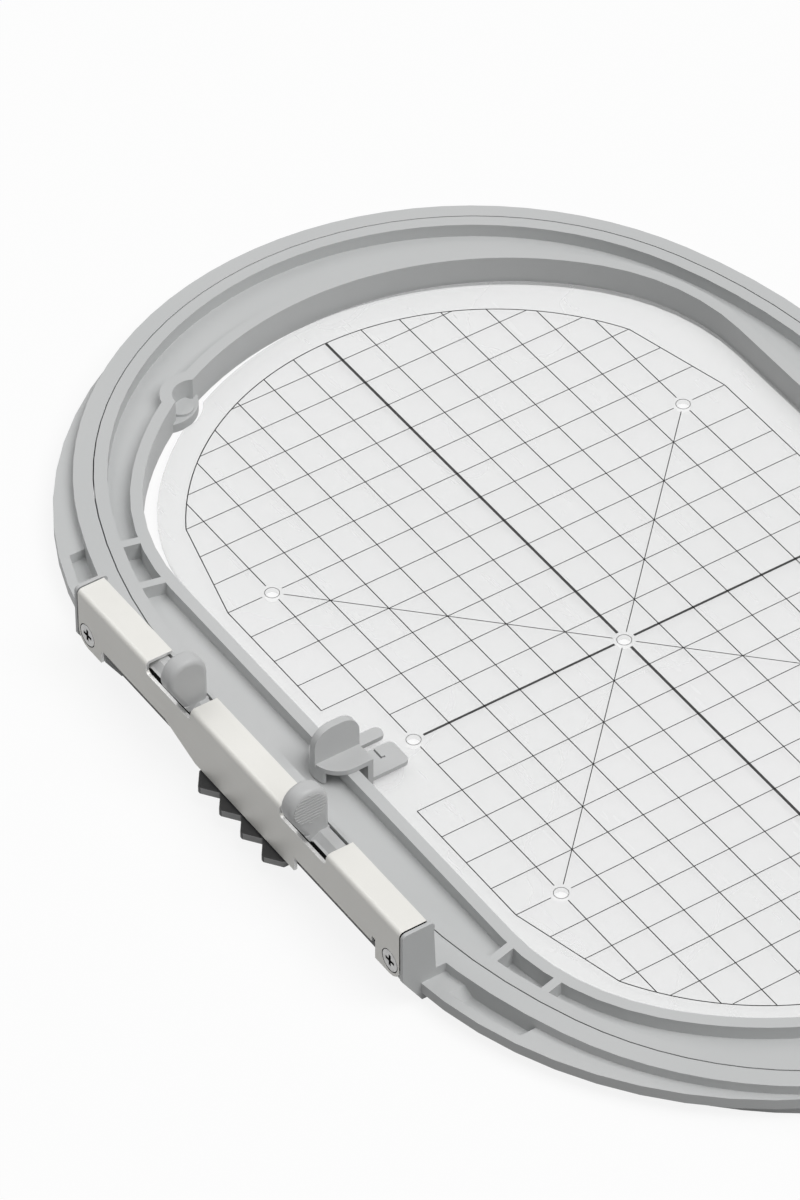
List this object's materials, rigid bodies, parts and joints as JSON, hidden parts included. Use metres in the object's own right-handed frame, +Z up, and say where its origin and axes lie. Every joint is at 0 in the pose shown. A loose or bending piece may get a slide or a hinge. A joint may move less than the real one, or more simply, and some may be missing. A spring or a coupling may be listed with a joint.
{
  "type": "machine embroidery hoop",
  "caption": "Oval embroidery hoop with nested inner and outer rings, a gridded placement template with lift grips, and a side coupling with pinch-release tabs.",
  "frame": {"origin": "on the table, under the middle of the whole hoop's bounding box", "axes": "+Y along the hoop's long axis, away from the clamp; +Z up; the coupling lies on the -X side"},
  "size_m": [0.2152, 0.336, 0.0359],
  "materials": {
    "hoop_plastic": "fine satin moulding in light cool grey",
    "grip_plastic": "satin moulding in mid grey",
    "clear_sheet": "clear sheet with a fine printed grid",
    "coated_steel": "smooth warm light grey coating",
    "black_plastic": "matt black moulding",
    "bright_steel": "bright zinc-plated steel"
  },
  "bodies": {
    "frame": {"outer_hoop": "hoop_plastic", "coupling_cover": "coated_steel", "coupling_carrier": "black_plastic", "cover_screw_upper": "bright_steel", "cover_screw_lower": "bright_steel", "carrier_screw_upper": "bright_steel", "carrier_screw_lower": "bright_steel", "slider_spring_upper": "bright_steel", "slider_spring_lower": "bright_steel", "clamp_nut": "bright_steel", "clamp_washer": "bright_steel"},
    "inner_ring": {"inner_hoop": "hoop_plastic"},
    "placement_template": {"template": "clear_sheet", "template_grip_left": "grip_plastic", "template_grip_right": "grip_plastic"},
    "slider_upper": {"release_slider_upper": "grip_plastic", "latch_plate_upper": "bright_steel"},
    "slider_lower": {"release_slider_lower": "grip_plastic", "latch_plate_lower": "bright_steel"},
    "clamp_handle": {"clamp_screw": "bright_steel", "clamp_knob": "grip_plastic"}
  },
  "joints": [
    {"name": "inner_hoop_lift", "type": "slide", "parent": "frame", "child": "inner_ring", "axis": [0, 0, 1], "range_m": [0, 0.012]},
    {"name": "template_lift", "type": "slide", "parent": "inner_ring", "child": "placement_template", "axis": [0, 0, 1], "range_m": [0, 0.012]},
    {"name": "release_upper", "type": "slide", "parent": "frame", "child": "slider_upper", "axis": [0, -1, 0], "range_m": [0, 0.0022], "stiffness_N_per_m": 500, "springref_m": -0.004, "deforming": ["slider_spring_upper"]},
    {"name": "release_lower", "type": "slide", "parent": "frame", "child": "slider_lower", "axis": [0, 1, 0], "range_m": [0, 0.0022], "stiffness_N_per_m": 500, "springref_m": -0.004, "deforming": ["slider_spring_lower"]},
    {"name": "clamp_turn", "type": "hinge", "parent": "frame", "child": "clamp_handle", "pos_m": [0.00717, -0.16124, 0.008], "axis": [1, 0, 0], "continuous": true}
  ]
}
